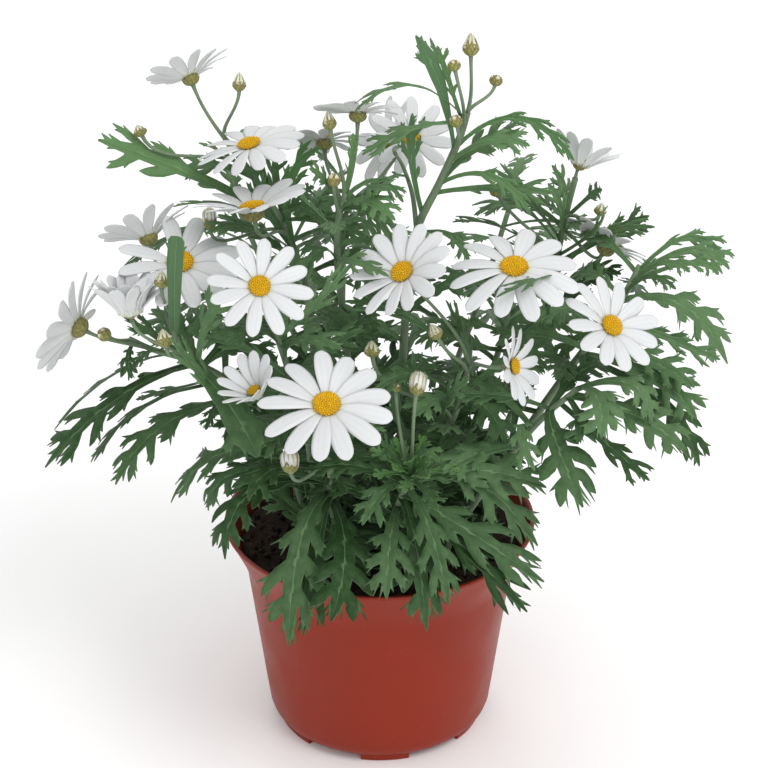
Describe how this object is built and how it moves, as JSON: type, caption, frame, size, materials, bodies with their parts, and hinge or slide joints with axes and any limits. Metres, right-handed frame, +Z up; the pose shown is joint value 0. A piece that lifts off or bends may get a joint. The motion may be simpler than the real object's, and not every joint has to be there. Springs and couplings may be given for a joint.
{
  "type": "potted daisy plant",
  "caption": "Bushy marguerite daisy with white petals round yellow discs and lobed green leaves, in soil in a thin-walled round nursery pot with low feet.",
  "frame": {"origin": "on the pot's axis, in the plane its feet stand on, at the middle of the plant's outline seen from above", "axes": "+Z up along the pot's axis, -Y towards the side most blooms face, +X to the right as seen from that side"},
  "size_m": [0.2991, 0.2269, 0.328],
  "materials": {
    "pot": "satin, terracotta coloured",
    "soil": "damp peat, rough",
    "green": "leaf, soft sheen",
    "petal": "matt petal",
    "disc": "matt florets"
  },
  "bodies": {
    "root": {"pot": "pot", "soil": "soil", "shoot_a": "green", "shoot_b": "green", "shoot_c": "green", "shoot_d": "green", "shoot_e": "green", "shoot_f": "green", "shoot_g": "green", "shoot_h": "green", "shoot_i": "green", "shoot_j": "green", "shoot_k": "green", "shoot_l": "green", "shoot_m": "green", "shoot_n": "green", "shoot_o": "green", "shoot_p": "green", "bloom_01_disc": "disc", "bloom_01_petals": "petal", "bloom_02_disc": "disc", "bloom_02_petals": "petal", "bloom_03_disc": "disc", "bloom_03_petals": "petal", "bloom_04_disc": "disc", "bloom_04_petals": "petal", "bloom_05_disc": "disc", "bloom_05_petals": "petal", "bloom_06_disc": "disc", "bloom_06_petals": "petal", "bloom_07_disc": "disc", "bloom_07_petals": "petal", "bloom_08_disc": "disc", "bloom_08_petals": "petal", "bloom_09_disc": "disc", "bloom_09_petals": "petal", "bloom_10_disc": "disc", "bloom_10_petals": "petal", "bloom_11_disc": "disc", "bloom_11_petals": "petal", "bloom_12_disc": "disc", "bloom_12_petals": "petal", "bloom_13_disc": "disc", "bloom_13_petals": "petal", "bloom_14_disc": "disc", "bloom_14_petals": "petal", "bloom_15_disc": "disc", "bloom_15_petals": "petal", "bloom_16_disc": "disc", "bloom_16_petals": "petal", "bloom_17_disc": "disc", "bloom_17_petals": "petal", "bloom_18_disc": "disc", "bloom_18_petals": "petal", "bloom_19_disc": "disc", "bloom_19_petals": "petal", "bloom_20_disc": "disc", "bloom_20_petals": "petal"}
  },
  "joints": []
}
